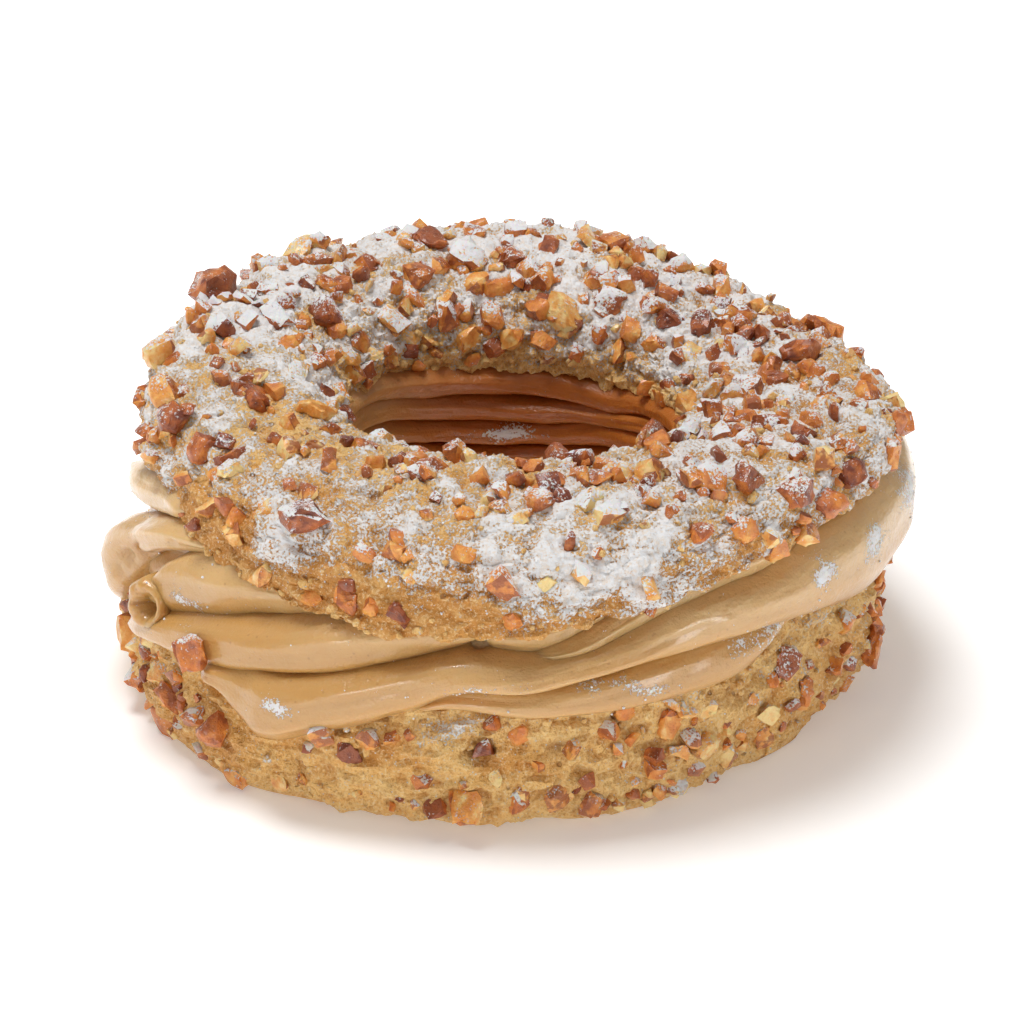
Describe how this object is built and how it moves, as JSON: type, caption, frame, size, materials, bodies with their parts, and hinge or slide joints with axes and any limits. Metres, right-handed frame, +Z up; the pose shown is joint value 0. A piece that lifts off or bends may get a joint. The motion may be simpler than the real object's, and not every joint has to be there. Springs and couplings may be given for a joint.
{
  "type": "paris brest pastry",
  "caption": "Ring of baked choux pastry, split level and filled with piped praline cream, with chopped nuts and icing sugar on top and an open hole through the middle.",
  "frame": {"origin": "centre of the pastry's box at the level that it stands on, on the axis of the hole", "axes": "+Z up along the axis of the hole; -Y towards the front; +X to the right as seen from the front"},
  "size_m": [0.1025, 0.0995, 0.0431],
  "materials": {
    "baked_choux": "dry golden crust, browner where it bulges, dusted with icing sugar",
    "praline_cream": "smooth light-brown cream with a satin sheen",
    "chopped_nuts": "toasted chopped nuts, pale tan to dark brown",
    "icing_sugar": "powdery white"
  },
  "bodies": {
    "root": {"bottom_crust": "baked_choux", "praline_cream": "praline_cream", "top_crust": "baked_choux"}
  },
  "joints": []
}
